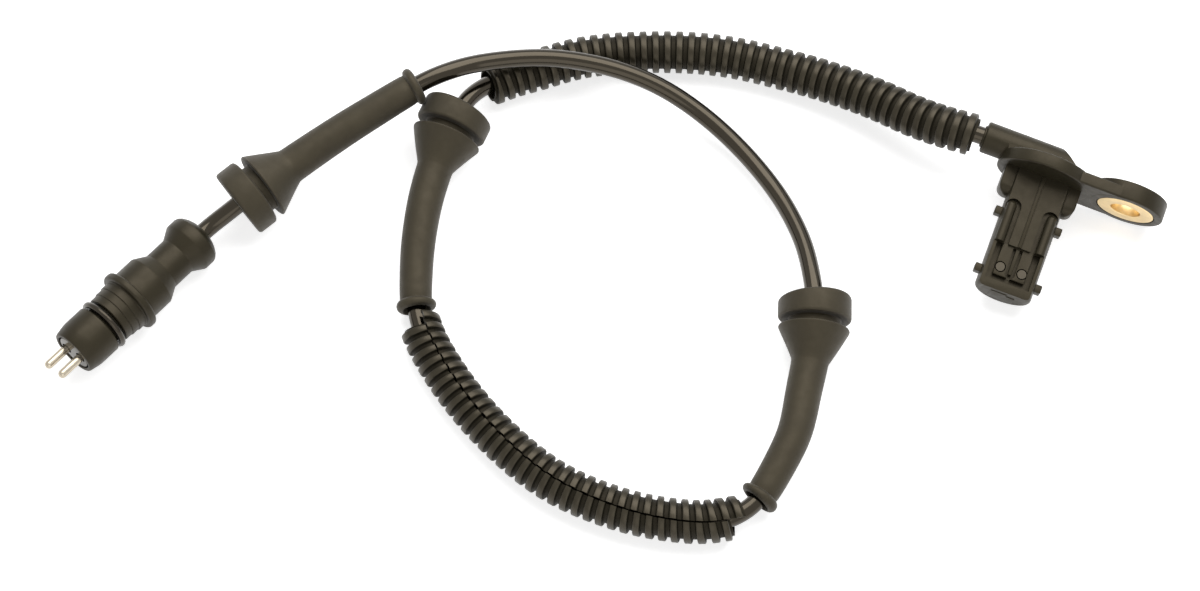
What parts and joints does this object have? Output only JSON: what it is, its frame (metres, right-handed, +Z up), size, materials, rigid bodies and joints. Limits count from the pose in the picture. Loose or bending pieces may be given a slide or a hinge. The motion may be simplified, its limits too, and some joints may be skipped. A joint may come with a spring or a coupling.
{
  "type": "wheel speed sensor",
  "caption": "Anti-lock brake wheel speed sensor: a flanged nose with a bolt ear, a cable in split corrugated conduits with rubber grommets, and a round pin plug.",
  "frame": {"origin": "bottom centre of the sensor head's own box, on the surface that it lies on; the cord with its plug isn't counted", "axes": "+X from the cable boss to the bolt's ear, -Y the way the sensing nose points, +Z up from the surface"},
  "size_m": [0.2686, 0.1659, 0.0268],
  "materials": {
    "glass_filled_nylon": "satin, moulded glass-filled nylon",
    "moulded_rubber": "matte moulded rubber",
    "conduit_plastic": "satin extruded polyamide conduit",
    "cable_sheath": "smooth glossy cable sheath",
    "seal_rubber": "glossy seal rubber",
    "brass": "turned brass",
    "nickel_plate": "bright nickel plate on copper alloy",
    "tinned_copper": "tinned copper alloy strip",
    "carrier_plastic": "moulded plastic",
    "chip_epoxy": "moulded epoxy chip package",
    "red_core": "wire core insulation",
    "white_core": "wire core insulation"
  },
  "bodies": {
    "root": {"sensor_housing": "glass_filled_nylon", "mounting_bush": "brass", "element_carrier": "carrier_plastic", "sensing_element": "chip_epoxy", "terminal_left": "tinned_copper", "terminal_right": "tinned_copper", "head_core_upper": "red_core", "head_core_lower": "white_core", "plug_body": "glass_filled_nylon", "plug_seal_ring": "seal_rubber", "pin_carrier": "glass_filled_nylon", "contact_pin_left": "nickel_plate", "contact_pin_right": "nickel_plate", "plug_core_left": "red_core", "plug_core_right": "white_core", "cable_jacket": "cable_sheath", "conduit_long": "conduit_plastic", "conduit_short": "conduit_plastic", "grommet_front": "moulded_rubber", "grommet_middle": "moulded_rubber", "grommet_rear": "moulded_rubber"}
  },
  "joints": []
}
